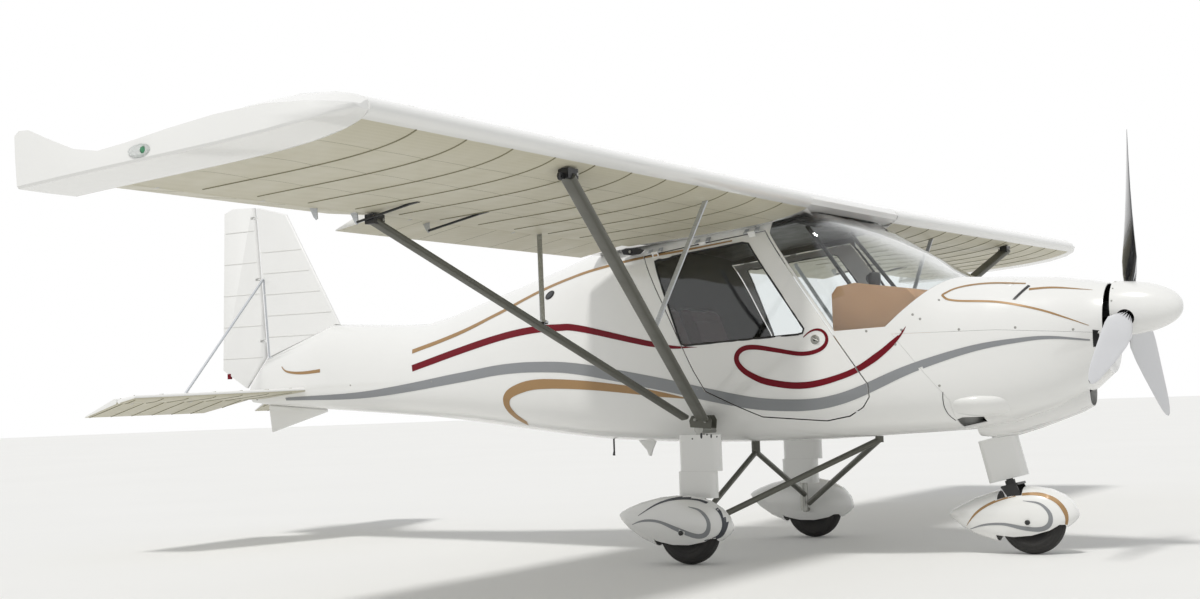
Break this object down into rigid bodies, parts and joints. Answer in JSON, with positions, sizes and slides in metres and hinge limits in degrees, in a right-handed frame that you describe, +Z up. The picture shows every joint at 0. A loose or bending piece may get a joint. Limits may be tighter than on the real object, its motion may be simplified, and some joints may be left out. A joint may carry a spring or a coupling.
{
  "type": "two-seat high-wing ultralight aircraft",
  "caption": "Strut-braced high-wing light aircraft on a fixed tricycle undercarriage, with turning propeller and wheels, steering nose leg, opening doors and hinged control surfaces.",
  "frame": {"origin": "on the ground under the middle of the aircraft, at the bottom centre of its bounding box", "axes": "+X forward to the spinner, +Y to the left wing tip, +Z up"},
  "size_m": [6.24, 9.063, 2.2118],
  "materials": {
    "white_gelcoat": "gloss",
    "white_fabric": "satin",
    "clear_screen": "clear",
    "tyre": "matte",
    "bare_aluminium": "satin",
    "dark_strut": "satin",
    "black_part": "satin",
    "seat_cloth": "matte",
    "tan_cover": "matte"
  },
  "bodies": {
    "airframe": {"fuselage_shell": "white_gelcoat", "roof_fairing": "white_gelcoat", "upper_cowl": "white_gelcoat", "lower_cowl": "white_gelcoat", "firewall": "bare_aluminium", "engine_block": "black_part", "windscreen": "clear_screen", "instrument_panel": "tan_cover", "cabin_floor": "black_part", "seat_cushions": "seat_cloth", "seat_backs": "seat_cloth", "door_hinges": "bare_aluminium", "wing_left": "white_fabric", "wing_right": "white_fabric", "wing_tips": "white_gelcoat", "wing_struts": "dark_strut", "strut_fittings": "black_part", "fins": "white_fabric", "stabilisers": "white_fabric", "tail_braces": "bare_aluminium", "main_legs": "bare_aluminium", "leg_sleeves": "white_gelcoat", "gear_struts": "dark_strut", "main_pants": "white_gelcoat", "nose_leg": "white_gelcoat"},
    "propeller": {"spinner": "white_gelcoat", "propeller": "black_part"},
    "main_wheel_left": {"main_tyre_left": "tyre", "main_rim_left": "bare_aluminium"},
    "main_wheel_right": {"main_tyre_right": "tyre", "main_rim_right": "bare_aluminium"},
    "nose_gear": {"nose_fork": "bare_aluminium", "nose_pant": "white_gelcoat"},
    "nose_wheel": {"nose_tyre": "tyre", "nose_rim": "bare_aluminium"},
    "door_left": {"door_left": "white_gelcoat", "door_glass_left": "clear_screen"},
    "door_right": {"door_right": "white_gelcoat", "door_glass_right": "clear_screen"},
    "aileron_left": {"aileron_left": "white_fabric"},
    "aileron_right": {"aileron_right": "white_fabric"},
    "flap_left": {"flap_left": "white_fabric"},
    "flap_right": {"flap_right": "white_fabric"},
    "elevator": {"elevators": "white_fabric"},
    "rudder": {"rudder": "white_fabric"}
  },
  "joints": [
    {"name": "propeller_spin", "type": "hinge", "parent": "airframe", "child": "propeller", "pos_m": [2.866, 0, 1.224], "axis": [1, 0, 0], "continuous": true},
    {"name": "main_wheel_left_spin", "type": "hinge", "parent": "airframe", "child": "main_wheel_left", "pos_m": [0.774, 0.8, 0.168], "axis": [0, 1, 0], "continuous": true},
    {"name": "main_wheel_right_spin", "type": "hinge", "parent": "airframe", "child": "main_wheel_right", "pos_m": [0.774, -0.8, 0.168], "axis": [0, 1, 0], "continuous": true},
    {"name": "nose_steering", "type": "hinge", "parent": "airframe", "child": "nose_gear", "pos_m": [2.219, 0, 0.357], "axis": [-0.2322, 0, 0.9727], "range_deg": [-20, 20]},
    {"name": "nose_wheel_spin", "type": "hinge", "parent": "nose_gear", "child": "nose_wheel", "pos_m": [2.326, 0, 0.168], "axis": [0, 1, 0], "continuous": true},
    {"name": "door_left_hinge", "type": "hinge", "parent": "airframe", "child": "door_left", "pos_m": [0.48, 0.57424, 1.637], "axis": [0.993, 0.0463, 0.1086], "range_deg": [0, 78]},
    {"name": "door_right_hinge", "type": "hinge", "parent": "airframe", "child": "door_right", "pos_m": [0.48, -0.57424, 1.637], "axis": [-0.993, 0.0463, -0.1086], "range_deg": [0, 78]},
    {"name": "aileron_left_hinge", "type": "hinge", "parent": "airframe", "child": "aileron_left", "pos_m": [0.32562, 2.8029, 1.73135], "axis": [0, 1, 0.0073], "range_deg": [-18, 18]},
    {"name": "aileron_right_hinge", "type": "hinge", "parent": "airframe", "child": "aileron_right", "pos_m": [0.32562, -2.8029, 1.73135], "axis": [0, 1, -0.0073], "range_deg": [-18, 18]},
    {"name": "flap_left_hinge", "type": "hinge", "parent": "airframe", "child": "flap_left", "pos_m": [0.32562, 0.70296, 1.71596], "axis": [0, 1, 0.0073], "range_deg": [-31, 9]},
    {"name": "flap_right_hinge", "type": "hinge", "parent": "airframe", "child": "flap_right", "pos_m": [0.32562, -0.70296, 1.71596], "axis": [0, 1, -0.0073], "range_deg": [-31, 9]},
    {"name": "elevator_hinge", "type": "hinge", "parent": "airframe", "child": "elevator", "pos_m": [-2.806, 0, 0.946], "axis": [0, 1, 0], "range_deg": [-4, 43]},
    {"name": "rudder_hinge", "type": "hinge", "parent": "airframe", "child": "rudder", "pos_m": [-2.752, 0, 1.206], "axis": [-0.0701, 0, 0.9975], "range_deg": [-25, 25]}
  ],
  "couplings": [
    {"joint": "aileron_right_hinge", "follows": "aileron_left_hinge", "ratio": -1},
    {"joint": "flap_right_hinge", "follows": "flap_left_hinge", "ratio": 1}
  ]
}
